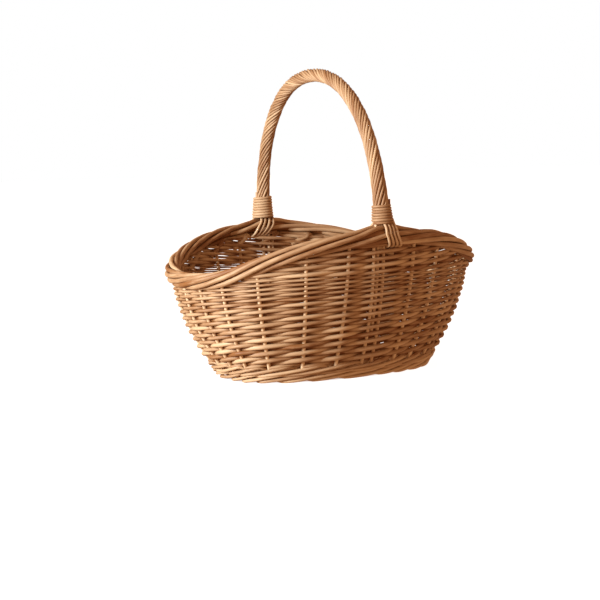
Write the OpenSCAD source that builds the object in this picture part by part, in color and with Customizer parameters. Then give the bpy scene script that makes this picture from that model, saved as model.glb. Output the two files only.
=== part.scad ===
// Oval willow market basket with raised sides and a roped bow handle.
// +X runs along the oval, +Z is up, and the origin is the centre of the floor under the base.

/* [Body] */
// Overall length over the border
body_length = 337; // [320:1:350]
// Overall width over the border
body_width = 260; // [245:5:275]
// Height of the border's top where the handle stands
side_height = 154.5; // [148:0.5:162]
// Height of the border's top at the two ends
end_height = 112; // [106:1:120]
// Length of the foot on the floor
foot_length = 235; // [228:1:242]
// Width of the foot on the floor
foot_width = 143; // [138:1:150]
// How far the side swells outwards at half height
side_swell = 7; // [3:0.5:8]
// How far round the foot the stakes near the handle lean, in degrees
foot_lean = 4; // [0:0.5:5]
// Squareness of the border's oval, where 2 is an ellipse
oval_power = 2.15; // [2:0.05:2.3]
// Squareness of the foot's oval
foot_power = 2.6; // [2.3:0.05:2.7]

/* [Rods] */
// Diameter of a side stake
stake_d = 3.6; // [3.2:0.1:4]
// Thickness of a weaving course
course_t = 3.2; // [2.6:0.1:3.4]
// Diameter of a border rod
border_rod_d = 4.6; // [4:0.1:4.6]
// Distance from the middle of the border to its rods
border_roll = 6.1; // [6:0.05:6.2]
// Diameter of a base stick
stick_d = 6; // [5:0.5:6.5]

/* [Handle] */
// Height of the handle's top over the floor
overall_height = 314; // [290:1:330]
// Distance between the middles of the two handle legs
handle_span = 239.6; // [236:0.2:242]
// Where the handle's legs stand along the basket
handle_x = -2.7; // [-4:0.1:0]
// How far the top of the arch leans towards -X
handle_lean = 5; // [0:1:8]
// Diameter of the bow inside the roping
bow_d = 8.6; // [7.5:0.1:9]
// Diameter of a roping rod
roping_d = 2.5; // [2:0.1:2.5]
// Length of the binding at each end of the handle
binding_length = 22; // [18:1:24]

/* [Hidden] */
stake_count = 24;
course_count = 8;
gap = 0.3;                                   // clearance between neighbouring rods
fit = 0.1;                                   // radial clearance of a rod in its channel
half_count = stake_count / 2;
half_places = [                              // angles of the stake places around one half
    [0, 0], [1, 12], [2, 25], [3, 41.5], [4, 61], [5, 77], [6, 90],
    [7, 101.5], [8, 114], [9, 130.5], [10, 147], [11, 163.5], [12, 180]
];
handle_place = 6;                            // the rear leg's place, and the front leg's is opposite
stake_r = stake_d / 2;
border_r = border_roll + border_rod_d / 2;
border_d = 2 * border_r;
rim_a = body_length / 2 - border_r;          // the border's centre line
rim_b = body_width / 2 - border_r;
weave_drop = 19.8;                           // from the border's top to the top of the weave
wave = stake_r + course_t / 2 + fit;         // a course's swing to either side of a stake
wale_offset = wave;                          // the upsett wale stays outside the stakes
wall_a = [foot_length / 2 - wave - course_t / 2, body_length / 2 - 10.5];
wall_b = [foot_width / 2 - wave - course_t / 2, body_width / 2 - 10.5];
wall_z = 9;                                  // height at which the stakes stand up
foot_h = 4.6;                                // height of the foot wale
foot_t = 7.5;                                // breadth of the foot wale
plate_z = [2.5, 11.5];                       // underside and top of the woven base
plate_a = wall_a[0] - 4;
plate_b = wall_b[0] - 4;
plate_mid = (plate_z[0] + plate_z[1]) / 2;
socket_depth = 13;                           // how far a stake is pushed into the base
stick_margin = 18;                           // from a stick's end to the base's edge
long_stick_pitch = 7;
long_stick_d = 5;
cross_stick_pitch = 20;
cross_stick_side = 3;                        // cross sticks on each side of the middle one
liner_places = [-10.3, 0.9];                 // the liners to the left and right of the bow's leg
leg_place = -4.7;                            // the bow's leg between its two liners
border_turn = [-59, 191];                    // where a border rod starts and ends on the roll
border_step = 50;                            // how far a border rod rolls over in one bay
border_phase = -49;                          // its place on the roll where its own stake stands
open_place = 3;                              // the place whose border rod makes way for the leg
stake_entry = 4.4;                           // how far a stake reaches into the border
leg_d = 4;                                   // the bow's ends, cut thin to enter the weave
leg_inset = 0.8;                             // from the border's middle inwards to the leg
leg_bottom = 0.12;                           // where the bow's leg ends, as a share of the side
arch_base = side_height;
arch_top = overall_height - bow_d / 2 - roping_d - gap;
arch_power = 2.18;                           // squareness of the arch, where 2 is an ellipse
roping_count = 12;
roping_turns = 5.8;
roping_ease = 0.0234;                        // closer winding at the top than near the feet
roping_end = 1.6;                            // where on the arch the roping rods end, in degrees
binding_bottom = arch_base + gap;
binding_rod_d = 2.7;
tie_count = 4;
tie_d = 2.4;
tie_pitch = 2.8;
tie_turn = 42;                               // how high up the roll both ends of a tie reach
willow_light = [0.86, 0.66, 0.42];
willow_mid = [0.78, 0.55, 0.32];

function sign_of(x) = x < 0 ? -1 : 1;
function rounded(x, power) = sign_of(x) * pow(abs(x), 2 / power);
function mix(a, b, share) = a * (1 - share) + b * share;
function unit(v) = v / norm(v);

// Angle of stake place i, which may lie between two stakes.
function place(i) =
    let (half = floor(i / half_count))
    180 * half + lookup(i - half_count * half, half_places);

// A point of the oval with half axes a and b, and the outward normal there.
function oval(angle, a, b, power = oval_power) =
    [a * rounded(cos(angle), power), b * rounded(sin(angle), power)];
function slope(x, half) = sign_of(x) * pow(abs(x) / half, oval_power - 1) / half;
function outward(angle, a, b) = let (p = oval(angle, a, b)) unit([slope(p.x, a), slope(p.y, b)]);

// Height of the border's top at x: a saddle, high at the handle and low at the ends.
function rim_top(x) = side_height - (side_height - end_height) * pow(min(abs(x) / rim_a, 1), 2);

// Where a stake place at this angle of the border meets the foot: only the places near the handle lean.
function foot_angle(angle) = angle + foot_lean * pow(sin(angle), 8);

// The side's middle surface, where the stakes stand: share 0 at the foot, 1 under the border.
function wall_point(angle, share, offset = 0) =
    let (
        foot = oval(foot_angle(angle), wall_a[0], wall_b[0], foot_power),
        top = oval(angle, wall_a[1], wall_b[1]),
        out = outward(angle, wall_a[1], wall_b[1]),
        swell = offset + side_swell * 4 * share * (1 - share),
        flat = mix(foot, top, share) + out * swell
    )
    [flat.x, flat.y, mix(wall_z, rim_top(top.x) - weave_drop, share)];

// Joins a row of sections into one solid: a closed ring, or a rod with two flat ends.
module loft(sections, closed = false) {
    count = len(sections);
    corners = len(sections[0]);
    joins = closed ? count : count - 1;
    skin = [for (i = [0:joins - 1], j = [0:corners - 1])
        let (
            k = (j + 1) % corners,
            here = i * corners,
            next = ((i + 1) % count) * corners
        )
        each [[here + j, here + k, next + k], [here + j, next + k, next + j]]];
    ends = [[for (j = [corners - 1:-1:0]) j], [for (j = [0:corners - 1]) (count - 1) * corners + j]];
    polyhedron([for (s = sections) each s], closed ? skin : concat(skin, ends));
}

// A round rod along a path; radius holds one value for each point, and across is never along the path.
module rod(path, radius, sides, across) {
    last = len(path) - 1;
    loft([for (i = [0:last])
        let (
            along = unit(path[min(i + 1, last)] - path[max(i - 1, 0)]),
            u = unit(cross(across, along)),
            w = cross(along, u)
        )
        [for (s = [0:sides - 1]) path[i] + radius[i] * (cos(360 * s / sides) * u + sin(360 * s / sides) * w)]]);
}

function same(value, path) = [for (p = path) value];

// ---- Base ----

module base_long_sticks() {
    half = plate_a - stick_margin;
    color(willow_mid)
    for (row = [-1:1])
        translate([-half, row * long_stick_pitch, plate_mid])
        rotate([0, 90, 0])
        cylinder(d = long_stick_d, h = 2 * half, $fn = 24);
}

// Cross sticks are split at the middle, and the long sticks pass through the slit.
module base_cross_sticks(extra = 0) {
    slit = 2 * long_stick_pitch + long_stick_d + 1;
    color(willow_mid)
    for (i = [-cross_stick_side:cross_stick_side]) {
        x = i * cross_stick_pitch;
        half = (plate_b - stick_margin) * pow(1 - pow(abs(x) / plate_a, foot_power), 1 / foot_power);
        difference() {
            translate([x, -half - extra, plate_mid])
            rotate([-90, 0, 0])
            cylinder(d = stick_d + 2 * extra, h = 2 * (half + extra), $fn = 24);
            if (extra == 0)
                translate([x, 0, plate_mid])
                cube([2 * stick_d, slit, long_stick_d + 2 * fit], center = true);
        }
    }
}

module oval_plate(a, b) {
    polygon([for (i = [0:4 * stake_count - 1]) oval(360 * i / (4 * stake_count), a, b, foot_power)]);
}

// The pairing weave of the base, with a channel for every stick and a socket for every stake.
module base_weave() {
    half = plate_a - stick_margin + fit;
    color(willow_mid)
    difference() {
        translate([0, 0, plate_z[0]])
        linear_extrude(plate_z[1] - plate_z[0])
        oval_plate(plate_a, plate_b);
        for (row = [-1:1])
            translate([-half, row * long_stick_pitch, plate_mid])
            rotate([0, 90, 0])
            cylinder(d = long_stick_d + 2 * fit, h = 2 * half, $fn = 24);
        base_cross_sticks(fit);
        for (foot = stake_feet())
            socket(foot[0], foot[1]);
    }
}

module socket(inner, mouth) {
    reach = mouth - inner;
    translate([inner.x, inner.y, plate_mid])
    rotate([0, 90, atan2(reach.y, reach.x)])
    cylinder(r = stake_r + fit, h = norm(reach) + 2, $fn = 24);
}

// The lowest round of waling: a ring with a flat underside, on which the basket stands.
module foot_wale() {
    color(willow_light)
    linear_extrude(foot_h)
    difference() {
        oval_plate(foot_length / 2 - 1, foot_width / 2 - 1);
        oval_plate(foot_length / 2 - 1 - foot_t, foot_width / 2 - 1 - foot_t);
    }
}

// ---- Side ----

// A band around the side from share low to share high; swing holds its offset at each step of a bay.
module band(low, high, swing) {
    steps = len(swing);
    loft([for (i = [0:stake_count - 1], s = [0:steps - 1])
        let (
            angle = place(i + (s + 1) / (steps + 1)),
            side = (i % 2 == 0 ? 1 : -1) * swing[s].x + swing[s].y,
            inner = side - course_t / 2,
            outer = side + course_t / 2
        )
        [
            wall_point(angle, low, inner), wall_point(angle, low, outer),
            wall_point(angle, high, outer), wall_point(angle, high, inner)
        ]], closed = true);
}

module upsett_wale() {
    color(willow_light)
    band(-0.025, 0.055, [[0, wale_offset], [0, wale_offset], [0, wale_offset]]);
}

// A course runs outside one stake and inside the next, and the course above does the opposite.
module weave_course(number) {
    start = 0.06;
    rise = (1 - start) / course_count;
    low = start + (number - 1) * rise;
    turn = number % 2 == 0 ? wave : -wave;
    color(number % 2 == 0 ? willow_light : willow_mid)
    band(low, low + rise - 0.003, [[turn, 0], [0, 0], [-turn, 0]]);
}

// Inner end and mouth of each stake's socket in the base: the side stakes, then the liners.
function foot_line(angle, aside) = [
    oval(foot_angle(angle), plate_a - socket_depth, plate_b - socket_depth, foot_power) + [aside, 0],
    oval(foot_angle(angle), plate_a, plate_b, foot_power) + [aside, 0]
];
function liner_x(angle, x) = handle_x + (angle == 90 ? -x : x);
function side_angles() = [for (i = [0:stake_count - 1]) if (i % half_count != handle_place) place(i)];
function stake_feet() = concat(
    [for (angle = side_angles()) foot_line(angle, 0)],
    [for (angle = [90, 270], x = liner_places) foot_line(angle, liner_x(angle, x))]
);

// A stake leaves its socket, turns up, follows the side and ends inside the border.
function stake_path(angle, aside) =
    let (
        foot = foot_line(angle, aside),
        shift = [aside, 0, 0],
        top = wall_point(angle, 1) + shift
    )
    concat(
        [for (p = foot) [p.x, p.y, plate_mid]],
        [mix([foot[1].x, foot[1].y, plate_mid], wall_point(angle, 0) + shift, 0.62) - [0, 0, 0.3]],
        [for (share = [0.03, 0.12, 0.3, 0.5, 0.7, 0.88, 1]) wall_point(angle, share) + shift],
        [top + [0, 0, weave_drop - border_d + stake_entry]]
    );

module stake(angle, aside, extra = 0) {
    path = stake_path(angle, aside);
    rod(path, same(stake_r + extra, path), 6, [-sin(angle), cos(angle), 0]);
}

module side_stakes() {
    color(willow_light)
    for (angle = side_angles())
        stake(angle, 0);
}

// Two liners stand beside each leg of the bow, in place of one stake.
module handle_liners() {
    color(willow_light)
    for (angle = [90, 270], x = liner_places)
        stake(angle, liner_x(angle, x));
}

// ---- Border ----

function rim_centre(angle) =
    let (p = oval(angle, rim_a, rim_b))
    [p.x, p.y, rim_top(p.x) - border_r];

// Each stake's end leans over to the right and rolls over the border from the outside to the inside.
// One place on each side is left open, so that the handle's leg goes down through the roll.
module border_rods() {
    step = border_step / 3;
    places = [for (i = [0:stake_count - 1]) if (i % half_count != open_place) i];
    color(willow_light)
    for (i = places) {
        path = [for (turn = [border_turn[0]:step:border_turn[1]])
            let (
                angle = place(i + (turn - border_phase) / border_step),
                out = outward(angle, rim_a, rim_b)
            )
            rim_centre(angle) + border_roll * [cos(turn) * out.x, cos(turn) * out.y, sin(turn)]];
        rod(path, same(border_rod_d / 2, path), 6, [0.03, 0.02, 1]);
    }
}

// ---- Handle ----

// The arch's centre line: turn runs from 0 at the front leg to 180 at the rear leg.
function arch_point(turn) =
    let (
        lift = rounded(sin(turn), arch_power),
        y = -handle_span / 2 * rounded(cos(turn), arch_power)
    )
    [handle_x - handle_lean * lift, y, mix(arch_base, arch_top, lift)];

// A leg of the bow goes down through the border and beside the liners into the weave.
function leg_path(side) =
    let (
        angle = side < 0 ? 270 : 90,
        x = liner_x(angle, leg_place)
    )
    concat(
        [for (share = [leg_bottom, 0.3, 0.5, 0.7, 0.88, 1]) wall_point(angle, share) + [x, 0, 0]],
        [[x, side * (rim_b - leg_inset), arch_base - border_r]],
        [[handle_x, side * handle_span / 2, arch_base + 2]]
    );

module bow_leg(side, extra = 0) {
    path = leg_path(side);
    rod(path, same(leg_d / 2 + extra, path), 8, [1, 0, 0]);
}

module handle_bow() {
    front = leg_path(-1);
    rear = leg_path(1);
    arch = [for (turn = [3:6:177]) arch_point(turn)];
    path = concat(front, arch, [for (i = [len(rear) - 1:-1:0]) rear[i]]);
    radius = concat(same(leg_d / 2, front), same(bow_d / 2, arch), same(leg_d / 2, rear));
    color(willow_mid)
    rod(path, radius, 8, [1, 0, 0]);
}

// Roping rods wind around the bow, closer at the top of the arch than near its feet.
function roping_point(turn, start) =
    let (
        here = arch_point(turn),
        along = unit(arch_point(turn + 1) - arch_point(turn - 1)),
        u = unit(cross([1, 0, 0], along)),
        w = cross(along, u),
        wind = start + 360 * roping_turns * (turn / 180 - roping_ease * sin(2 * turn)),
        r = (bow_d + roping_d) / 2 + gap
    )
    here + r * (cos(wind) * u + sin(wind) * w);

module roping_rods(group) {
    share = roping_count / 3;
    color(willow_light)
    for (i = [0:share - 1]) {
        start = 360 * (3 * i + group) / roping_count;
        path = [for (k = [0:36]) roping_point(mix(roping_end, 180 - roping_end, k / 36), start)];
        rod(path, same(roping_d / 2, path), 5, [1, 0.1, 0.1]);
    }
}

// A rod wound around the foot of the handle, as a ribbed sleeve.
module binding(side) {
    turns = floor(binding_length / binding_rod_d);
    inner = bow_d / 2 + roping_d + 2 * gap + 0.4;
    color(willow_light)
    translate([handle_x, side * handle_span / 2 - side * 0.4, binding_bottom])
    rotate_extrude($fn = 48)
    union() {
        translate([inner, 0])
        square([binding_rod_d * 0.7, turns * binding_rod_d]);
        for (i = [0:turns - 1])
            translate([inner + binding_rod_d / 2, (i + 0.5) * binding_rod_d])
            circle(d = binding_rod_d, $fn = 24);
    }
}

// Ends of the roping rods, brought down beside the leg, around the border and up again inside.
module tie_rods(side) {
    middle = rim_centre(side < 0 ? 270 : 90);
    clear = border_r + tie_d / 2 + gap;
    color(willow_light)
    for (i = [0:tie_count - 1]) {
        x0 = tie_pitch * (i + 1);
        x1 = liner_places[1] + stake_r + tie_d + tie_pitch * i;
        path = [for (turn = [tie_turn:-22:-180 - tie_turn])
            let (
                low = (1 - sin(turn)) / 2,
                across = cos(turn) * clear
            )
            [handle_x - side * mix(x0, x1, low), middle.y + side * across, middle.z + sin(turn) * clear]];
        rod(path, same(tie_d / 2, path), 6, [1, 0, 0]);
    }
}

base_long_sticks();
base_cross_sticks();
base_weave();
foot_wale();
upsett_wale();
for (number = [1:course_count])
    weave_course(number);
side_stakes();
handle_liners();
border_rods();
handle_bow();
for (group = [1:3])
    roping_rods(group);
binding(-1);  // front_binding
binding(1);  // rear_binding
tie_rods(-1);  // front_tie_rods
tie_rods(1);  // rear_tie_rods
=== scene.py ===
"""Willow market basket: its rods, stakes, border and handle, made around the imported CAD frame.

Lengths are in millimetres until a mesh is made, and MM turns them into Blender's metres.
+X runs along the oval, -Y is the front and +Z is up, as in the CAD frame.
"""

import math
import random

import bpy
from mathutils import Matrix, Vector, noise


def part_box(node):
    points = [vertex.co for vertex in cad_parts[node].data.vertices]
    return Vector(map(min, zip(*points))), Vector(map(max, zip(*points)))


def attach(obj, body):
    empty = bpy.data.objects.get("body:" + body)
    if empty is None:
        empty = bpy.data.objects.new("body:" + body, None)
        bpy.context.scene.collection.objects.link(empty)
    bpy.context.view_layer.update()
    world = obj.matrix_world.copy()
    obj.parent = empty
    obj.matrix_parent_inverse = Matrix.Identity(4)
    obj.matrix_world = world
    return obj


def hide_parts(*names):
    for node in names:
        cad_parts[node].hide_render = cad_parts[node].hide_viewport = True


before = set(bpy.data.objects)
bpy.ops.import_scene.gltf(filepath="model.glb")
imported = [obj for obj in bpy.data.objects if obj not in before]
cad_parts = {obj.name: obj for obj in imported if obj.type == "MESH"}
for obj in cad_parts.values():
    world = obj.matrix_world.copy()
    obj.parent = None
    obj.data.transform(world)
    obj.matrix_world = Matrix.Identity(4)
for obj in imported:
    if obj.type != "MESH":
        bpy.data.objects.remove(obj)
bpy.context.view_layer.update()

MM = 0.001
rng = random.Random(26)


def node_box(node):
    """Lowest and highest corner of a CAD node, in millimetres."""
    low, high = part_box(node)
    return low / MM, high / MM


# ---- Driving dimensions, with the sizes of the body read from the frame ----

border_low, border_high = node_box("border_rods")
foot_high = node_box("foot_wale")[1]
bow_high = node_box("handle_bow")[1]

OVAL_POWER = 2.15  # squareness of the border's oval, where 2 is an ellipse
FOOT_POWER = 2.6  # squareness of the foot's oval
BORDER_ROLL = 6.1  # from the border's middle to its rods
BORDER_ROD_R = 2.35
CORE_R = 3.6
CORE_TONE = -0.5  # a tone of 0 is the deep colour of the willow and 1 the pale one
BORDER_R = BORDER_ROLL + 2.3  # radius of the whole roll
LEG_HUMP = 2.6  # the border swells upwards by twice this where it closes around a leg
SIDE_TOP = border_high.z
SAG = 4.0  # how far the border sags in front of its left end
SADDLE_RIGHT = 2.25  # power of the saddle's fall to the right; it is 2 to the left, so the right stays higher
END_TOP = border_low.z + 2 * BORDER_R
RIM_A = border_high.x - BORDER_R
RIM_B = border_high.y - BORDER_R
WEAVE_DROP = 17.6  # from the border's top down to the last row
STAKE_R = 1.8
WEAVER_TONES = (0.2, 0.95)  # from the darkest weaver to the palest
WALL_Z = 4.0  # height at which the side starts to lean out
WALL_FOOT = (foot_high.x - 4.4, foot_high.y - 4.4)  # half axes of the oval on which the stakes stand
WALL_TOP = (RIM_A - 2.1, RIM_B - 2.1)  # and of the oval that they reach under the border
SWELL = 7.0  # how far the side swells outwards at half height
FOOT_LEAN = 4.0  # how far round the foot the stakes near the handle lean, in degrees
ROWS_START = 16.5  # height at which the side weavers start
ROW_TUCK = 4.5  # how far the ends of a weaver run up into the border
ROW_FULLNESS = 0.6  # a weaver's radius as a share of the space between two rows
WEAVER_COUNT = 24
LOOSE = 0.34  # share of its thickness that a weaver loses in a loose patch
CREVICE_SHADE = 0.4  # painted shade: how much darker the weavers are painted where they lie against each other, standing for the shade between the rows
HOLLOW_SHADE = 1.1  # painted shade: how much darker they are painted beside a stake that they pass behind, standing for the stake's shade
BAY_STEPS = 8  # points on a weaver's path in each bay
LINER_FLAT = 0.27  # share of a bay in which a weaver runs straight past the liners
SPLICE_ROW = 29  # the first set of weavers ends here, and a thicker set goes on
LINER_PLACES = (-10.3, 0.9)  # the liners to the left and right of the bow's leg
LEG_PLACE = -5.4  # the bow's leg between its two liners
STAKE_STAND = 0.8  # how far the stakes stand out from the middle of the weave
COURSE_COUNT = 8
COURSES_START = 0.06  # the lowest course starts at this share of the side's height

# Space between two rows at some of the rows: the weavers are thick at first and taper to their tips.
ROW_PITCHES = ((0, 4.1), (10, 3.6), (16, 3.2), (20, 2.8), (24, 2.2), (29, 2.15), (30, 3.3), (48, 3.6))
PLATE_MID = 7.0  # height of the base's middle
PLATE_A = WALL_FOOT[0] - 4
PLATE_B = WALL_FOOT[1] - 4

# Angles of the stake places around one half of the oval; the other half repeats them.
HALF_PLACES = (0, 12, 25, 41.5, 61, 77, 90, 101.5, 114, 130.5, 147, 163.5, 180)
HALF_COUNT = 12
STAKE_COUNT = 24
REAR_PLACE = 6
FRONT_PLACE = 18
OPEN_PLACE = 3  # this place's border rod makes way for the handle's leg
OPEN_SHIFT = 16  # how far round the roll each of its neighbours moves to close the gap, in degrees

LEG_Y = 119.8  # from the middle to each foot of the handle's arch
HANDLE_X = -2.7  # the handle stands a little to the left of the middle
ARCH_TOP = bow_high.z
ARCH_POWER = 2.18  # squareness of the arch
HANDLE_LEAN = 5.2  # how far the arch's top leans to the left
BOW_R = 4.3
ROPING_R = 1.3
ROPING_COUNT = 12
ROPING_TURNS = 5.8
ROPING_EASE = 0.0234  # makes the roping wind more slowly towards the feet
ARCH_MID_TOP = ARCH_TOP - BOW_R
BINDING_RISE = 2.66  # the arch rises by this much in its first degrees


# ---- Shape of the basket ----


def rounded(x, power):
    return math.copysign(abs(x) ** (2 / power), x)


def oval(angle, a, b, power=OVAL_POWER):
    t = math.radians(angle)
    return Vector((a * rounded(math.cos(t), power), b * rounded(math.sin(t), power), 0))


def outward(angle, a, b):
    p = oval(angle, a, b)
    slope = [math.copysign((abs(v) / half) ** (OVAL_POWER - 1) / half, v) for v, half in ((p.x, a), (p.y, b))]
    return Vector((slope[0], slope[1], 0)).normalized()


def place_angle(place):
    """Angle of a stake place, which may lie between two stakes."""
    half = math.floor(place / HALF_COUNT)
    rest = place - half * HALF_COUNT
    i = min(int(rest), HALF_COUNT - 1)
    return 180 * half + HALF_PLACES[i] + (HALF_PLACES[i + 1] - HALF_PLACES[i]) * (rest - i)


def rim_top(p):
    """Height of the border's top at p: a saddle, high at the handle and low at the ends.

    It sags a little in front of the left end.
    """
    saddle = min(abs(p.x) / RIM_A, 1) ** (SADDLE_RIGHT if p.x > 0 else 2)
    sag = SAG * math.exp(-((p.x + 0.9 * RIM_A) / 28) ** 2 - ((p.y + 0.5 * RIM_B) / 45) ** 2)
    return SIDE_TOP - (SIDE_TOP - END_TOP) * saddle - sag


def weave_top(angle):
    return rim_top(oval(angle, *WALL_TOP)) - WEAVE_DROP


def foot_angle(angle):
    return angle + FOOT_LEAN * math.sin(math.radians(angle)) ** 8


def wall(angle, z, offset=0.0):
    """A point on the side at height z, offset outwards from the surface in which the stakes stand."""
    foot = oval(foot_angle(angle), *WALL_FOOT, FOOT_POWER)
    top = oval(angle, *WALL_TOP)
    share = max(z - WALL_Z, 0) / (weave_top(angle) - WALL_Z)
    flat = foot.lerp(top, share) + outward(angle, *WALL_TOP) * (offset + SWELL * 4 * share * (1 - share))
    return Vector((flat.x, flat.y, z))


def leg_hump(x, side):
    """How far the border's middle is lifted at x, beside the leg on this side."""
    return LEG_HUMP * math.exp(-((x - side * 4) / 20) ** 2)


def rim_point(place, turn, roll):
    """A point at distance roll from the border's middle; turn 0 is outside, 90 on top, 180 inside."""
    angle = place_angle(place)
    middle = oval(angle, RIM_A, RIM_B)
    out = outward(angle, RIM_A, RIM_B)
    t = math.radians(turn)
    flat = middle + out * (roll * math.cos(t))
    hump = leg_hump(middle.x, math.copysign(1, middle.y))
    z = rim_top(middle) - BORDER_R + hump + (roll + hump) * math.sin(t)
    return Vector((flat.x, flat.y, z))


def ripple(seed, position, scale=1.0):
    """Smooth noise from about -1 to 1 along a rod; each seed has its own."""
    return noise.noise(Vector((position * scale, seed * 7.31, seed * 1.17)))


# ---- Rods ----


def curve_through(points, steps):
    """A Catmull-Rom curve through the points, with this many steps between two of them."""
    last = len(points) - 1
    path = []
    for i in range(last):
        p0, p1, p2, p3 = points[max(i - 1, 0)], points[i], points[i + 1], points[min(i + 2, last)]
        for s in range(steps):
            t = s / steps
            path.append(
                0.5 * (2 * p1 + (p2 - p0) * t + (2 * p0 - 5 * p1 + 4 * p2 - p3) * t * t
                       + (3 * p1 - p0 - 3 * p2 + p3) * t ** 3)
            )
    path.append(points[last])
    return path


def swept(path, radii, sides):
    """Rings of corners around a path, each corner with its place in the willow's grain."""
    shift = Vector((rng.uniform(0, 900), rng.uniform(0, 900), rng.uniform(0, 900)))
    lump = rng.uniform(0, 500)
    last = len(path) - 1
    side = (path[1] - path[0]).orthogonal().normalized()
    run = 0.0
    rings = []
    for i, point in enumerate(path):
        along = (path[min(i + 1, last)] - path[max(i - 1, 0)]).normalized()
        if i:
            run += (point - path[i - 1]).length
        side = (side - along * side.dot(along)).normalized()
        up = along.cross(side)
        r = radii[i] * (1 + 0.05 * ripple(lump, run, 0.11))
        ring = []
        for s in range(sides):
            a = 2 * math.pi * s / sides
            spoke = side * math.cos(a) + up * math.sin(a)
            ring.append((point + spoke * r, shift + Vector((run, r * math.cos(a), r * math.sin(a)))))
        rings.append(ring)
    return rings


class Rods:
    """Collects swept willow rods into one mesh, with grain coordinates and a tone for every rod."""

    def __init__(self, name):
        self.name = name
        self.verts = []
        self.faces = []
        self.grain = []
        self.tone = []
        self.flat = []
        self.rims = {}

    def add(self, path, radius, tone=0.5, sides=8, taper=0.0):
        """Sweeps a rod along path; taper is the share of its radius lost between its ends."""
        last = len(path) - 1
        radii = [radius * (1 + taper * (0.5 - i / last)) for i in range(last + 1)]
        self.add_rings(swept(path, radii, sides), [[tone] * sides] * len(path))

    def add_rings(self, rings, tones):
        """Adds a rod's rings, with a list of tones for the corners of each."""
        start = len(self.verts)
        sides = len(rings[0])
        last = len(rings) - 1
        for ring, ring_tones in zip(rings, tones):
            for corner, grain in ring:
                self.verts.append(corner * MM)
                self.grain.append(grain)
            self.tone += ring_tones
        for i in range(last):
            for s in range(sides):
                k = (s + 1) % sides
                a, b = start + i * sides, start + (i + 1) * sides
                self.faces.append((a + s, a + k, b + k, b + s))
                self.flat.append(False)
        end = start + last * sides
        self.faces.append(tuple(start + s for s in reversed(range(sides))))
        self.faces.append(tuple(end + s for s in range(sides)))
        self.flat += [True, True]
        for first in (start, end):
            self.rims.update((first + s, first) for s in range(sides))

    def build(self, material, slot, *nodes):
        mesh = bpy.data.meshes.new(self.name)
        mesh.from_pydata([tuple(v) for v in self.verts], [], self.faces)
        mesh.polygons.foreach_set("use_smooth", [not f for f in self.flat])
        grain = mesh.attributes.new("grain", "FLOAT_VECTOR", "POINT")
        grain.data.foreach_set("vector", [c for g in self.grain for c in g])
        # The tone attribute is each rod's own tone; on the side weavers it also carries painted shade per
        # corner.
        tone = mesh.attributes.new("tone", "FLOAT", "POINT")
        tone.data.foreach_set("value", self.tone)
        cuts = [self.rims.get(a, a) == self.rims.get(b, b) for a, b in (e.vertices for e in mesh.edges)]
        mesh.attributes.new("sharp_edge", "BOOLEAN", "EDGE").data.foreach_set("value", cuts)
        mesh.materials.append(material)
        mesh.update()
        piece = bpy.data.objects.new(self.name, mesh)
        bpy.context.scene.collection.objects.link(piece)
        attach(piece, "root")
        if nodes:
            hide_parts(*nodes)
        return piece


# ---- Material ----

STREAKS = 0.24  # how far the streaks and the patches change a rod's tone
PATCHES = 0.22
SCAR_COLOUR = (0.20, 0.085, 0.03, 1)


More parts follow.
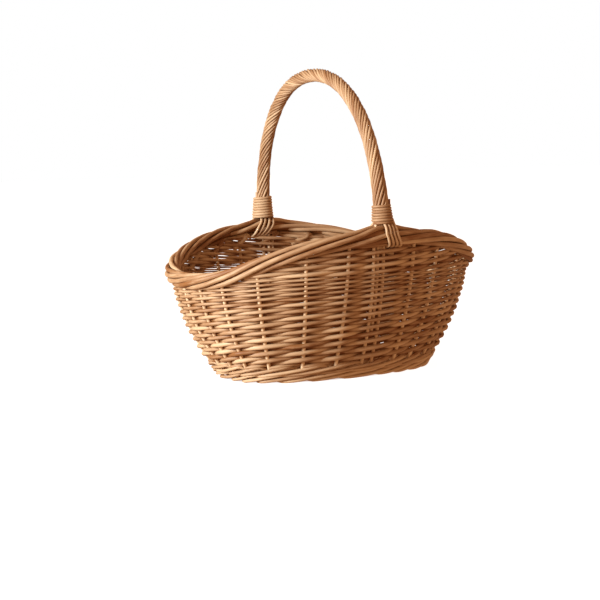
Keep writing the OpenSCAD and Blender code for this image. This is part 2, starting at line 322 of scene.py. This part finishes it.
def willow(name, pale, deep, roughness):
    """Peeled willow: streaks along each rod, a tone for each rod, small scars, and a soft waxy shine."""
    material = bpy.data.materials.new(name)
    material.use_nodes = True
    nodes, links = material.node_tree.nodes, material.node_tree.links
    shader = nodes["Principled BSDF"]
    shader.inputs["Roughness"].default_value = roughness
    shader.inputs["Specular IOR Level"].default_value = 0.42

    grain = nodes.new("ShaderNodeAttribute")
    grain.attribute_name = "grain"
    # The tone attribute brings each rod's own tone and, on the side weavers, painted shade into the colour.
    tone = nodes.new("ShaderNodeAttribute")
    tone.attribute_name = "tone"

    def stretched(scale):
        mapping = nodes.new("ShaderNodeMapping")
        mapping.inputs["Scale"].default_value = scale
        links.new(grain.outputs["Vector"], mapping.inputs["Vector"])
        return mapping.outputs["Vector"]

    def noise_of(vector, scale, detail=3.0):
        texture = nodes.new("ShaderNodeTexNoise")
        texture.inputs["Scale"].default_value = scale
        texture.inputs["Detail"].default_value = detail
        links.new(vector, texture.inputs["Vector"])
        return texture.outputs["Fac"]

    def ranged(value, low, high, to_low, to_high):
        span = nodes.new("ShaderNodeMapRange")
        numbers = {"From Min": low, "From Max": high, "To Min": to_low, "To Max": to_high}
        for socket, number in numbers.items():
            span.inputs[socket].default_value = number
        links.new(value, span.inputs["Value"])
        return span.outputs["Result"]

    def maths(operation, first, second):
        node = nodes.new("ShaderNodeMath")
        node.operation = operation
        for socket, value in zip(node.inputs, (first, second)):
            if isinstance(value, (int, float)):
                socket.default_value = value
            else:
                links.new(value, socket)
        return node.outputs["Value"]

    streaks = noise_of(stretched((0.06, 1.0, 1.0)), 1.5, 4.0)
    patches = noise_of(stretched((0.03, 0.05, 0.05)), 1.0, 2.0)
    level = maths("ADD", tone.outputs["Fac"], ranged(streaks, 0.3, 0.7, -STREAKS, STREAKS))
    level = maths("ADD", level, ranged(patches, 0.3, 0.7, -PATCHES, PATCHES))

    ramp = nodes.new("ShaderNodeValToRGB")
    ramp.color_ramp.elements[0].position = 0.0
    ramp.color_ramp.elements[0].color = (*deep, 1)
    ramp.color_ramp.elements[1].position = 1.0
    ramp.color_ramp.elements[1].color = (*pale, 1)
    middle = ramp.color_ramp.elements.new(0.5)
    middle.color = (*[(p * 0.55 + d * 0.45) for p, d in zip(pale, deep)], 1)
    links.new(level, ramp.inputs["Fac"])

    # Scars where side shoots were trimmed: a few small dark spots along each rod.
    scars = nodes.new("ShaderNodeTexVoronoi")
    scars.inputs["Scale"].default_value = 1.0
    links.new(stretched((0.045, 0.28, 0.28)), scars.inputs["Vector"])
    scar = ranged(scars.outputs["Distance"], 0.05, 0.13, 1.0, 0.0)
    spotted = nodes.new("ShaderNodeMix")
    spotted.data_type = "RGBA"
    spotted.inputs["B"].default_value = SCAR_COLOUR
    links.new(ramp.outputs["Color"], spotted.inputs["A"])
    links.new(maths("MULTIPLY", scar, 0.55), spotted.inputs["Factor"])
    links.new(spotted.outputs["Result"], shader.inputs["Base Color"])

    bump = nodes.new("ShaderNodeBump")
    bump.inputs["Strength"].default_value = 0.35
    bump.inputs["Distance"].default_value = 0.0004
    links.new(maths("SUBTRACT", streaks, maths("MULTIPLY", scar, 0.6)), bump.inputs["Height"])
    links.new(bump.outputs["Normal"], shader.inputs["Normal"])
    return material


WEAVER_WILLOW = willow("weaver_willow", pale=(0.71, 0.48, 0.265), deep=(0.265, 0.1, 0.025), roughness=0.58)
STAKE_WILLOW = willow("stake_willow", pale=(0.86, 0.62, 0.37), deep=(0.45, 0.22, 0.085), roughness=0.55)


# ---- Base ----

CROSS_STICKS = (-60, -40, -20, 0, 20, 40, 60)
CROSS_STICK_R = 2.7
LONG_STICKS = (-7, 0, 7)
LONG_STICK_R = 2.4
FAN_START = 66  # the long sticks run side by side up to here, and then fan out
FAN_ANGLES = (-30, 0, 30)  # where the ends of the long sticks meet the plate's edge
BASE_ROW_R = 1.5
BASE_ROW_PITCH = 3.05
BASE_PAST = 5.1  # how far past the plate's edge the weave starts, inside the foot wale


def build_base():
    """The slath of long and cross sticks, and rows of pairing around it, out to the side."""
    sticks = Rods("base_sticks")
    for x in CROSS_STICKS:
        half = (PLATE_B - 5) * (1 - (abs(x) / PLATE_A) ** FOOT_POWER) ** (1 / FOOT_POWER)
        sticks.add([Vector((x, y * half, PLATE_MID)) for y in (-1, -0.5, 0, 0.5, 1)],
                   CROSS_STICK_R, 0.55)
    for y, fan in zip(LONG_STICKS, FAN_ANGLES):
        tip = oval(fan, PLATE_A - 4, PLATE_B - 4, FOOT_POWER)
        route = [(-tip.x, tip.y), (-FAN_START, y), (0, y), (FAN_START, y), (tip.x, tip.y)]
        points = [Vector((*p, PLATE_MID)) for p in route]
        sticks.add(curve_through(points, 6), LONG_STICK_R, 0.5)
    sticks.build(STAKE_WILLOW, "stick_willow", "base_long_sticks", "base_cross_sticks")

    weave = Rods("base_pairing_weave")
    inset = -BASE_PAST
    row = 0
    while PLATE_B - inset > 9:
        a, b = PLATE_A - inset, PLATE_B - inset
        # The rows past the plate's edge cross no sticks, so they lie flatter and a little lower.
        weaving, level = (3.0, PLATE_MID) if inset > 0 else (1.2, PLATE_MID - 2)
        ribs = []  # the angles at which sticks cross this row
        for x in CROSS_STICKS:
            if abs(x) < a:
                angle = math.degrees(math.acos(math.copysign((abs(x) / a) ** (FOOT_POWER / 2), x)))
                ribs += [angle, 360 - angle]
        ribs += [angle % 360 for angle in FAN_ANGLES] + [180 + angle for angle in FAN_ANGLES]
        ribs.sort()
        count = len(ribs)
        start = rng.randrange(count)
        path = []
        for k in range(count):
            here = ribs[(start + k) % count]
            ahead = (ribs[(start + k + 1) % count] - here) % 360
            for s in range(5):
                u = s / 5
                lift = (-1) ** (k + row) * math.cos(math.pi * u)
                p = oval(here + ahead * u, a, b, FOOT_POWER)
                path.append(Vector((p.x, p.y, level + weaving * lift)))
        weave.add(path, BASE_ROW_R, rng.uniform(0.3, 0.75), 6, 0.2)
        inset += BASE_ROW_PITCH
        row += 1
    weave.build(WEAVER_WILLOW, "willow", "base_weave")


# ---- Side ----

WALE_DIP = 0.4  # within this many bays of the stake it passes inside, a wale's rod drops back down


def wale_point(place, rod, low, height, rod_r):
    """A rod of a three-rod wale: outside two stakes, inside the third, rising as it goes."""
    u = (place - rod) % 3
    near = min(u, 3 - u)
    inside = math.exp(-(near / 0.38) ** 2)
    if u < WALE_DIP:
        share = (WALE_DIP - u) / (2 * WALE_DIP)
    elif u > 3 - WALE_DIP:
        share = 1 - (u - 3 + WALE_DIP) / (2 * WALE_DIP)
    else:
        share = (u - WALE_DIP) / (3 - 2 * WALE_DIP)
    offset = (STAKE_R + rod_r) * (1 - 2 * inside) + 1.2 * math.sin(math.pi * share) * (1 - inside)
    return wall(place_angle(place), low + rod_r + height * share ** 1.4, offset)


def build_wale(name, node, low, height, rod_r, steps=8):
    """A three-rod wale around the side; each of its rods goes half way, and a new one takes over."""
    rods = Rods(name)
    for rod in range(3):
        start = rod + 3 * rng.randrange(STAKE_COUNT // 3)
        for half in range(2):
            first = start + half * HALF_COUNT
            path = []
            for k in range(HALF_COUNT * steps + steps // 2):
                place = first + k / steps
                p = wale_point(place, rod, low, height, rod_r)
                p.z += max(0.5 * ripple(rod + low, place % STAKE_COUNT, 0.9), -0.2)
                path.append(p)
            rods.add(path, rod_r, rng.uniform(0.45, 0.85), 8, 0.16)
    rods.build(WEAVER_WILLOW, "willow", node)


def bay_swing(u, flat_before, flat_after):
    """From 1 at one stake to -1 at the next, nearly straight; the flats lie beside the handle's rods."""
    swing = math.cos(math.pi * min(max((u - flat_before) / (1 - flat_before - flat_after), 0), 1))
    return swing * (0.8 + 0.2 * swing ** 2)


def row_pitch(row):
    for (row_a, pitch_a), (row_b, pitch_b) in zip(ROW_PITCHES, ROW_PITCHES[1:]):
        if row <= row_b:
            break
    return pitch_a + (pitch_b - pitch_a) * (row - row_a) / (row_b - row_a)


def row_levels():
    """Height of a weaver at each step of its way around the side: it rises by one row in every bay."""
    levels = [ROWS_START]
    while levels[-1] < SIDE_TOP:
        levels.append(levels[-1] + row_pitch((len(levels) - 1) / BAY_STEPS) / BAY_STEPS)
    return levels


def course_of(angle, z):
    share = (z - WALL_Z) / (weave_top(angle) - WALL_Z)
    course = math.floor((share - COURSES_START) / (1 - COURSES_START) * COURSE_COUNT)
    return min(max(course, 0), COURSE_COUNT - 1)


def weaver_runs(weaver, levels):
    """The stretches of a weaver that lie under the border, as lists of (row, angle, height)."""
    runs = [[]]
    for k, level in enumerate(levels):
        row = k / BAY_STEPS
        angle = place_angle((weaver + row) % STAKE_COUNT)
        t = math.radians(angle)
        z = level + 0.9 * noise.noise(Vector((1.6 * math.cos(t), 1.6 * math.sin(t), level * 0.03)))
        z += 0.3 * noise.noise(Vector((row * 0.9, weaver * 3.7, 8.1)))
        if k == SPLICE_ROW * BAY_STEPS and runs[-1]:
            runs.append(runs[-1][-1:])
        if z < weave_top(angle) + ROW_TUCK:
            runs[-1].append((row, angle, z))
        elif runs[-1]:
            runs.append([])
    return [run for run in runs if len(run) > BAY_STEPS // 2]


def looseness(angle, z):
    """How much thinner the weavers are in the loose patches behind, where light shows through."""
    behind = math.exp(-((angle % 360 - 105) / 38) ** 2)
    patch = noise.noise(Vector((angle / 8, z / 6, 5.3)))
    return LOOSE * behind * min(max(3 * patch + 0.2, 0), 1)


def weaver_tones_with_shade(ring, tone, angle, swing):
    """Tones of the corners of a weaver's ring.

    They are painted darker, as painted shade, against the rows above and below and beside a stake that the
    weaver passes behind.
    """
    middle = sum((corner for corner, grain in ring), Vector()) / len(ring)
    out = outward(angle, *WALL_TOP)
    tones = []
    for corner, grain in ring:
        spoke = (corner - middle).normalized()
        # Painted shade: corners facing the rows above and below, and corners behind a stake, are darkened.
        behind = max(-swing * spoke.dot(out), 0)
        tones.append(tone - CREVICE_SHADE * spoke.z ** 4 - HOLLOW_SHADE * behind ** 2)
    return tones


def add_weaver(courses, weaver, run):
    """Winds a weaver in front of one stake and behind the next, and shares it out to the courses."""
    thickness = ROW_FULLNESS * rng.uniform(0.93, 1.07)
    tone = rng.uniform(*WEAVER_TONES)
    path, radii, swings = [], [], []
    for k, (row, angle, z) in enumerate(run):
        point = 0.35 + 0.65 * min(1, min(k, len(run) - 1 - k) / 3)
        r = thickness * row_pitch(row) * (1 - looseness(angle, z))
        bay = math.floor(row)
        flats = [LINER_FLAT if (weaver + bay + n) % HALF_COUNT == REAR_PLACE else 0.0 for n in (0, 1)]
        swings.append((-1) ** bay * bay_swing(row - bay, *flats))
        path.append(wall(angle, z, (0.75 * STAKE_R + 0.75 * r) * swings[-1]))
        radii.append(r * point)
    rings = swept(path, radii, 8)
    # Corner tones, with the painted shade between the rows and beside the stakes.
    tones = [weaver_tones_with_shade(ring, tone, run[k][1], swings[k]) for k, ring in enumerate(rings)]
    first = 0
    for k in range(1, len(run)):
        if k == len(run) - 1 or course_of(*run[k][1:]) != course_of(*run[first][1:]):
            courses[course_of(*run[first][1:])].add_rings(rings[first:k + 1], tones[first:k + 1])
            first = k


def build_side():
    courses = [Rods("weave_rods_%d" % (n + 1)) for n in range(COURSE_COUNT)]
    levels = row_levels()
    for weaver in range(WEAVER_COUNT):
        for run in weaver_runs(weaver, levels):
            add_weaver(courses, weaver, run)
    for n, course in enumerate(courses):
        course.build(WEAVER_WILLOW, "willow", "weave_course_%d" % (n + 1))


def stake_path(angle, aside=0.0, above=3.0):
    """A stake's way from its socket in the base, up the side and into the border."""
    foot = oval(foot_angle(angle), PLATE_A - 8, PLATE_B - 8, FOOT_POWER)
    edge = oval(foot_angle(angle), PLATE_A, PLATE_B, FOOT_POWER)
    shift = Vector((aside, 0, 0))
    top = weave_top(angle)
    points = [Vector((foot.x, foot.y, PLATE_MID)), Vector((edge.x, edge.y, PLATE_MID))]
    points += [wall(angle, z, STAKE_STAND) for z in (WALL_Z + 3, WALL_Z + 12)]
    points += [wall(angle, WALL_Z + 12 + (top - WALL_Z - 12) * k / 5, STAKE_STAND) for k in range(1, 6)]
    points.append(wall(angle, top + above, STAKE_STAND))
    return [p + shift for p in curve_through(points, 4)]


def build_stakes():
    """The stakes, and two liners in place of each of the two stakes at the handle's legs."""
    stakes = Rods("side_stake_rods")
    for i in range(STAKE_COUNT):
        if i % HALF_COUNT == REAR_PLACE:
            continue
        stakes.add(stake_path(place_angle(i)), STAKE_R + 0.1, rng.uniform(0.65, 0.95), 8, 0.1)
    stakes.build(STAKE_WILLOW, "stick_willow", "side_stakes")

    liners = Rods("handle_liner_rods")
    for place, side in ((REAR_PLACE, 1), (FRONT_PLACE, -1)):
        for aside in LINER_PLACES:
            x = HANDLE_X - side * aside
            path = stake_path(place_angle(place), x)
            if aside < LEG_PLACE:
                path += [Vector((x, side * (RIM_B - 1), SIDE_TOP - BORDER_R)),
                         Vector((HANDLE_X + side * 7.8, side * (LEG_Y + 1), SIDE_TOP + 1)),
                         Vector((HANDLE_X + side * 7.4, side * LEG_Y, SIDE_TOP + 8))]
            liners.add(path, STAKE_R, rng.uniform(0.5, 0.75), 8, 0.1)
    liners.build(STAKE_WILLOW, "stick_willow", "handle_liners")


# ---- Border ----

ROLL_START = -49  # a border rod's angle around the roll at its own place, in degrees
ROLL_STEP = 50  # how far around the roll it turns from one place to the next
BORDER_SHIFT = 0.05  # how far all the rods are moved along the border, in places
BORDER_TONES = (0.0, 0.8)


def border_path(i):
    """A stake's end comes up beside its stake, leans to the right, rolls over and tucks in on the inside.

    The two neighbours of the place that makes way for the handle's leg close up.
    """
    jitter = rng.uniform(-5, 5)
    if i % HALF_COUNT in (OPEN_PLACE - 1, OPEN_PLACE + 1):
        jitter = OPEN_SHIFT * (i % HALF_COUNT - OPEN_PLACE)
    roll = BORDER_ROLL + rng.uniform(-0.25, 0.2)
    angle = place_angle(i - 0.75)
    points = [wall(angle, weave_top(angle) - 9, -0.6)]
    stops = (-118, -104, -90, -74, -58, -42, -25, -5, 15, 35, 55, 75, 95, 115, 135, 155, 175, 190)
    for turn in stops:
        place = i + BORDER_SHIFT + (turn - ROLL_START) / ROLL_STEP
        wobble = 0.35 * ripple(i, turn, 0.03)
        points.append(rim_point(place, turn + jitter, roll + wobble))
    for turn, tuck in ((203, 1.4), (216, 4.6)):
        place = i + BORDER_SHIFT + (turn - ROLL_START) / ROLL_STEP
        points.append(rim_point(place, turn + jitter, roll - tuck))
    return curve_through(points, 3)


def build_border():
    """The rods of the border, rolled around a dark core that stands for the ends packed inside it."""
    rods = Rods("rolled_border")
    for i in range(STAKE_COUNT):
        if i % HALF_COUNT == OPEN_PLACE:
            continue
        rods.add(border_path(i), BORDER_ROD_R * rng.uniform(0.95, 1.05), rng.uniform(*BORDER_TONES), 10, 0.14)
    for half in (0, 1):
        places = [(half + k / 60) * HALF_COUNT for k in range(61)]
        core = [rim_point(place, 0, 0) for place in places]
        radii = [CORE_R + leg_hump(p.x, math.copysign(1, p.y)) for p in core]
        rods.add_rings(swept(core, radii, 10), [[CORE_TONE] * 10] * len(core))
    rods.build(WEAVER_WILLOW, "willow", "border_rods")


# ---- Handle ----


def arch_point(turn):
    """The bow's centre line: turn runs from 0 at the front leg to 180 at the rear leg."""
    t = math.radians(turn)
    lift = rounded(math.sin(t), ARCH_POWER)
    return Vector((HANDLE_X - HANDLE_LEAN * lift, -LEG_Y * rounded(math.cos(t), ARCH_POWER),
                   SIDE_TOP + (ARCH_MID_TOP - SIDE_TOP) * lift))


def leg_points(side):
    """The bow's leg, from inside the side weave up through the border to the arch."""
    angle = 90 if side > 0 else 270
    top = weave_top(angle)
    x = HANDLE_X - side * LEG_PLACE
    path = [wall(angle, z) + Vector((x, 0, 0)) for z in (top - 90, top - 60, top - 30, top)]
    path += [Vector((x, side * (RIM_B - 0.8), SIDE_TOP - BORDER_R)), Vector((x, side * LEG_Y, SIDE_TOP + 7))]
    return path


def build_bow():
    """The bow with its two legs, and the ends of the roping that go down with them into the border."""
    bow = Rods("handle_bow_core")
    bow.add([arch_point(1.2 + 177.6 * k / 90) for k in range(91)], BOW_R, 0.2, 12)
    for side in (-1, 1):
        bow.add(curve_through(leg_points(side), 5), 1.7, 0.7, 8)
        for aside in (-3.0, -0.2, 2.6):
            x = HANDLE_X - side * aside
            points = [
                Vector((x, side * (RIM_B - 3), SIDE_TOP - 6)),
                Vector((x, side * (LEG_Y + 2), SIDE_TOP + 1)),
                Vector((x, side * (LEG_Y + 1), SIDE_TOP + 8)),
            ]
            bow.add(curve_through(points, 4), 1.6, rng.uniform(-0.3, 0.1), 8)
    bow.build(STAKE_WILLOW, "stick_willow", "handle_bow")


def roping_point(turn, start, radius):
    here = arch_point(turn)
    along = (arch_point(turn + 0.5) - arch_point(turn - 0.5)).normalized()
    u = Vector((1, 0, 0)).cross(along).normalized()
    w = along.cross(u)
    wind = math.radians(start) + 2 * math.pi * ROPING_TURNS * (
        turn / 180 - ROPING_EASE * math.sin(math.radians(2 * turn)))
    return here + radius * (math.cos(wind) * u + math.sin(wind) * w)


def build_roping():
    """The rods wound around the bow from foot to foot; they spread a little towards their ends."""
    for group in range(3):
        rods = Rods("roping_%d" % (group + 1))
        for k in range(ROPING_COUNT // 3):
            number = 3 * k + group
            start = 360 * number / ROPING_COUNT + rng.uniform(-3, 3)
            r = ROPING_R * rng.uniform(0.92, 1.1)
            steps = 150
            path = []
            for s in range(steps + 1):
                turn = 1.6 + 176.8 * s / steps
                spread = 1.1 * max(1 - min(turn, 180 - turn) / 24, 0) + 0.22 * ripple(number + 3, turn, 0.06)
                path.append(roping_point(turn, start + 2.5 * ripple(number, turn, 0.05), BOW_R + r + spread))
            rods.add(path, r, rng.uniform(0.2, 0.75), 8, 0.12)
        rods.build(WEAVER_WILLOW, "willow", "roping_rods_%d" % (group + 1))


def build_binding(side, name, node, bottom, reach, turns, pitch, tone, tip_tone):
    """A rod wound round the foot of the handle, from a height above the border, with its cut end on top."""
    rods = Rods(name)
    steps = 26
    path = []
    count = int(turns * steps)
    for k in range(count + 1):
        a = 2 * math.pi * k / steps
        share = k / count
        out = reach - 1.7 * share + 0.2 * ripple(side + 5, k / steps, 1.1)
        rise = bottom + share * turns * pitch
        leg = arch_point(rise / BINDING_RISE if side < 0 else 180 - rise / BINDING_RISE)
        path.append(Vector((leg.x - side * (0.75 - out * math.cos(a)), leg.y + side * out * math.sin(a),
                            SIDE_TOP + rise)))
    rods.add(path, pitch * 0.508, tone, 8)
    tip = Vector((HANDLE_X - side * 8.0, side * (LEG_Y - 0.5), SIDE_TOP + bottom + turns * pitch))
    rods.add([tip - Vector((0, 0, 4)), tip, tip + Vector((0, 0, 5))], 1.8, tip_tone, 8)
    rods.build(WEAVER_WILLOW, "willow", node)


TIE_COUNT = 4
TIE_R = 1.35

# Where the ties cross the border: the angle around its roll, the first tie's place beside the leg,
# and the space from each tie to the next.
TIE_STOPS = ((90, -1.5, 3.4), (52, -2.3, 3.7), (0, -2.0, 4.1), (-60, 4.1, 4.5), (-120, 4.0, 4.4),
             (-180, -7.0, 6.2), (-215, -9.0, 5.0), (-245, -8.0, 4.2))


def tie_place(i, turn):
    """How far tie i lies beside the handle where it is at this angle around the border's roll."""
    for (turn_a, first_a, space_a), (turn_b, first_b, space_b) in zip(TIE_STOPS, TIE_STOPS[1:]):
        if turn >= turn_b:
            break
    share = (turn - turn_a) / (turn_b - turn_a)
    return first_a + (first_b - first_a) * share + i * (space_a + (space_b - space_a) * share)


def build_ties(side, name, node):
    """Ends of the roping, brought down beside the leg, around the border and up again inside."""
    rods = Rods(name)
    middle = Vector((HANDLE_X, side * RIM_B, SIDE_TOP - BORDER_R))
    reach = BORDER_R + TIE_R + 0.1
    for i in range(TIE_COUNT):
        path = [Vector((HANDLE_X - side * tie_place(i, 90), side * (LEG_Y + 4), SIDE_TOP + 9))]
        for k in range(18):
            turn = 52 - 290 * k / 17
            t = math.radians(turn)
            across = -side * tie_place(i, turn)
            hump = leg_hump(HANDLE_X + across, side)
            rise = hump + math.sin(t) * (reach + hump)
            path.append(middle + Vector((across, side * math.cos(t) * reach, rise)))
        path.append(Vector((HANDLE_X - side * tie_place(i, -245) * 0.7, side * (LEG_Y - 4), SIDE_TOP + 7)))
        rods.add(curve_through(path, 3), TIE_R, rng.uniform(0.55, 0.95), 8)
    rods.build(WEAVER_WILLOW, "willow", node)


# ---- Studio ----

KEY_AZIMUTH = -84  # 0 is in front of the basket, and -90 on its left
KEY_ELEVATION = 12
KEY_POWER = 38.5
KEY_COLOUR = (0.95, 1.03, 1.12)
FILL_COLOUR = (1.0, 0.57, 0.33, 1)
FILL_STRENGTH = 0.5
FLOOR_GLOW = 0.94
BODY_X = -0.0019  # the camera stands this far from where its azimuth puts it


def add_floor():
    """A pale floor that glows white all around the basket, and lies in its shade underneath."""
    bpy.ops.mesh.primitive_plane_add(size=30, location=(0, 0, 0))
    floor = bpy.context.object
    floor.name = "studio_floor"
    material = bpy.data.materials.new("studio_floor")
    material.use_nodes = True
    nodes, links = material.node_tree.nodes, material.node_tree.links
    shader = nodes["Principled BSDF"]
    shader.inputs["Base Color"].default_value = (0.6, 0.6, 0.6, 1)
    shader.inputs["Roughness"].default_value = 0.9
    shader.inputs["Emission Color"].default_value = (1, 1, 1, 1)
    place = nodes.new("ShaderNodeTexCoord")
    oval_place = nodes.new("ShaderNodeVectorMath")
    oval_place.operation = "MULTIPLY"
    oval_place.inputs[1].default_value = (1 / (foot_high.x * MM), 1 / (foot_high.y * MM), 0)
    from_middle = nodes.new("ShaderNodeVectorMath")
    from_middle.operation = "LENGTH"
    glow = nodes.new("ShaderNodeMapRange")
    glow.inputs["From Min"].default_value = 0.8
    glow.inputs["From Max"].default_value = 1.0
    glow.inputs["To Max"].default_value = FLOOR_GLOW
    links.new(place.outputs["Object"], oval_place.inputs[0])
    links.new(oval_place.outputs["Vector"], from_middle.inputs[0])
    links.new(from_middle.outputs["Value"], glow.inputs["Value"])
    links.new(glow.outputs["Result"], shader.inputs["Emission Strength"])
    floor.data.materials.append(material)
    floor.visible_diffuse = False
    floor.visible_glossy = False


def add_area(name, azimuth, elevation, distance, size, power, colour):
    """A square light aimed at the basket; azimuth 0 stands in front, and -90 on the left."""
    a, e = math.radians(azimuth), math.radians(elevation)
    back = Vector((math.sin(a) * math.cos(e), -math.cos(a) * math.cos(e), math.sin(e)))
    data = bpy.data.lights.new(name, "AREA")
    data.size = size
    data.energy = power
    data.color = colour
    light = bpy.data.objects.new(name, data)
    light.location = back * distance + Vector((0, 0, 0.12))
    light.rotation_euler = (-back).to_track_quat("-Z", "Y").to_euler()
    bpy.context.scene.collection.objects.link(light)


def add_lights():
    """A strong soft light from the left, and a white backdrop that lights the basket only a little."""
    add_area("key", KEY_AZIMUTH, KEY_ELEVATION, 1.6, 0.4, KEY_POWER, KEY_COLOUR)
    world = bpy.data.worlds.new("studio")
    world.use_nodes = True
    nodes, links = world.node_tree.nodes, world.node_tree.links
    backdrop = nodes["Background"]
    backdrop.inputs["Color"].default_value = (1, 1, 1, 1)
    fill = nodes.new("ShaderNodeBackground")
    fill.inputs["Color"].default_value = FILL_COLOUR
    fill.inputs["Strength"].default_value = FILL_STRENGTH
    path = nodes.new("ShaderNodeLightPath")
    mix = nodes.new("ShaderNodeMixShader")
    links.new(path.outputs["Is Camera Ray"], mix.inputs["Fac"])
    links.new(fill.outputs["Background"], mix.inputs[1])
    links.new(backdrop.outputs["Background"], mix.inputs[2])
    links.new(mix.outputs["Shader"], nodes["World Output"].inputs["Surface"])
    bpy.context.scene.world = world


def add_camera():
    """The photographer's place: in front, to the left, a little above the border."""
    azimuth = math.radians(-30.87)
    distance, height = 1.450, 0.2226
    yaw = azimuth + math.radians(0.87)
    pitch, roll = math.radians(-5.85), math.radians(-1.22)
    ahead = Vector((-math.sin(yaw) * math.cos(pitch), math.cos(yaw) * math.cos(pitch), math.sin(pitch)))
    level = Vector((math.cos(yaw), math.sin(yaw), 0))
    lift = level.cross(ahead)
    right = level * math.cos(roll) + lift * math.sin(roll)
    up = lift * math.cos(roll) - level * math.sin(roll)
    camera = bpy.data.objects.new("camera", bpy.data.cameras.new("camera"))
    camera.data.lens = 83.3
    camera.data.sensor_width = 36
    turned = Matrix((right, up, -ahead)).transposed().to_4x4()
    place = (math.sin(azimuth) * distance + BODY_X, -math.cos(azimuth) * distance, height)
    camera.matrix_world = Matrix.Translation(place) @ turned
    bpy.context.scene.collection.objects.link(camera)
    bpy.context.scene.camera = camera


build_base()
build_wale("foot_wale_rods", "foot_wale", low=0.1, height=9.0, rod_r=1.65)
build_wale("upsett_wale_rods", "upsett_wale", low=6.9, height=8.8, rod_r=1.6)
build_side()
build_stakes()
build_border()
build_bow()
build_roping()
build_binding(-1, "front_binding_rod", "front_binding", bottom=4.7, reach=9.9, turns=6.8, pitch=2.62,
              tone=0.35, tip_tone=-0.3)
build_binding(1, "rear_binding_rod", "rear_binding", bottom=3.2, reach=10.7, turns=8.2, pitch=2.9,
              tone=0.7, tip_tone=0.6)
build_ties(-1, "front_ties", "front_tie_rods")
build_ties(1, "rear_ties", "rear_tie_rods")
add_floor()
add_lights()
add_camera()
bpy.context.scene.view_settings.view_transform = "Standard"
